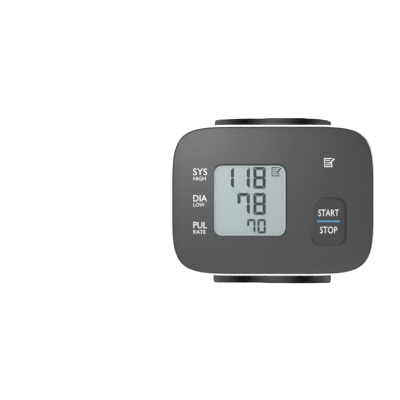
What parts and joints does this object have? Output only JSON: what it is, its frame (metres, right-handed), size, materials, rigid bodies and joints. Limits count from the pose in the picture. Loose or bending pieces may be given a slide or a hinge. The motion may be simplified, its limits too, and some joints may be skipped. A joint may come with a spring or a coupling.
{
  "type": "wrist blood pressure monitor",
  "caption": "Rounded-rectangle wrist blood pressure monitor with display, press keys, battery cover and a padded cuff whose strap swings open.",
  "frame": {"origin": "on the surface that the closed cuff lies on, below the middle of the case", "axes": "+Z is the way the face looks, +Y is the top of the display, +X is to the reader's right"},
  "size_m": [0.084, 0.0702, 0.0772],
  "materials": {
    "grey_cover": "satin moulded plastic, dark grey",
    "grey_key": "satin moulded plastic, darker grey",
    "white_case": "fine matte moulded plastic, white",
    "clear_pane": "clear acrylic",
    "display_glass": "liquid-crystal glass with a pale reflector",
    "dark_plastic": "black moulded plastic",
    "pale_rubber": "silicone rubber",
    "board": "glass-epoxy board with green resist",
    "steel": "zinc-plated steel",
    "nickel": "nickel-plated steel",
    "cell_jacket": "printed cell jacket, bare of marks",
    "clear_tube": "milky silicone tube",
    "black_cloth": "black knitted cover cloth",
    "grey_lining": "soft dark grey lining cloth",
    "loop_cloth": "black loop pile",
    "hook_cloth": "black hook tape",
    "curler_plastic": "springy translucent plastic",
    "bladder_sheet": "welded elastomer sheet"
  },
  "bodies": {
    "case": {"front_cover": "grey_cover", "rear_case": "white_case", "display_window": "clear_pane", "lcd_panel": "display_glass", "lcd_holder": "dark_plastic", "contact_strip_upper": "pale_rubber", "contact_strip_lower": "pale_rubber", "main_board": "board", "processor_chip": "dark_plastic", "start_switch_base": "dark_plastic", "memory_switch_base": "dark_plastic", "case_screw_upper_right": "steel", "case_screw_lower_right": "steel", "case_screw_upper_left": "steel", "case_screw_lower_left": "steel", "board_screw_1": "steel", "board_screw_2": "steel", "board_screw_3": "steel", "board_screw_4": "steel", "battery_cell_lower": "cell_jacket", "battery_cell_upper": "cell_jacket", "battery_contact_bridge": "nickel", "battery_contact_lower": "nickel", "battery_contact_upper": "nickel", "pump_motor": "steel", "pump_head": "dark_plastic", "air_tee": "dark_plastic", "exhaust_valve": "nickel", "pressure_sensor": "dark_plastic", "valve_tube": "clear_tube", "sensor_tube": "clear_tube", "pump_tube": "clear_tube", "cuff_tube": "clear_tube", "air_connector": "dark_plastic", "cuff_rivet_left": "nickel", "cuff_rivet_right": "nickel", "cuff_cover": "black_cloth", "cuff_curler": "curler_plastic", "air_bladder": "bladder_sheet", "cuff_lining": "grey_lining", "loop_patch": "loop_cloth"},
    "start_key": {"start_button": "grey_key", "start_switch_plunger": "pale_rubber"},
    "memory_key": {"memory_button": "grey_cover", "memory_switch_plunger": "pale_rubber"},
    "battery_door": {"battery_cover": "white_case"},
    "cuff_strap": {"strap_cover": "black_cloth", "strap_pad": "grey_lining"},
    "strap_tip": {"strap_tip_cover": "black_cloth", "hook_patch": "hook_cloth"}
  },
  "joints": [
    {"name": "start_button_press", "type": "slide", "parent": "case", "child": "start_key", "axis": [0, 0, -1], "range_m": [0, 0.0008], "stiffness_N_per_m": 900, "springref_m": -0.001},
    {"name": "memory_button_press", "type": "slide", "parent": "case", "child": "memory_key", "axis": [0, 0, -1], "range_m": [0, 0.0008], "stiffness_N_per_m": 900, "springref_m": -0.001},
    {"name": "battery_cover_pull", "type": "slide", "parent": "case", "child": "battery_door", "axis": [-1, 0, 0], "range_m": [0, 0.02]},
    {"name": "cuff_strap_swing", "type": "hinge", "parent": "case", "child": "cuff_strap", "pos_m": [0, 0.03173, 0.04306], "axis": [1, 0, 0], "range_deg": [0, 100]},
    {"name": "strap_tip_peel", "type": "hinge", "parent": "cuff_strap", "child": "strap_tip", "pos_m": [0, 0.0349, 0.0201], "axis": [1, 0, 0], "range_deg": [0, 65]}
  ]
}
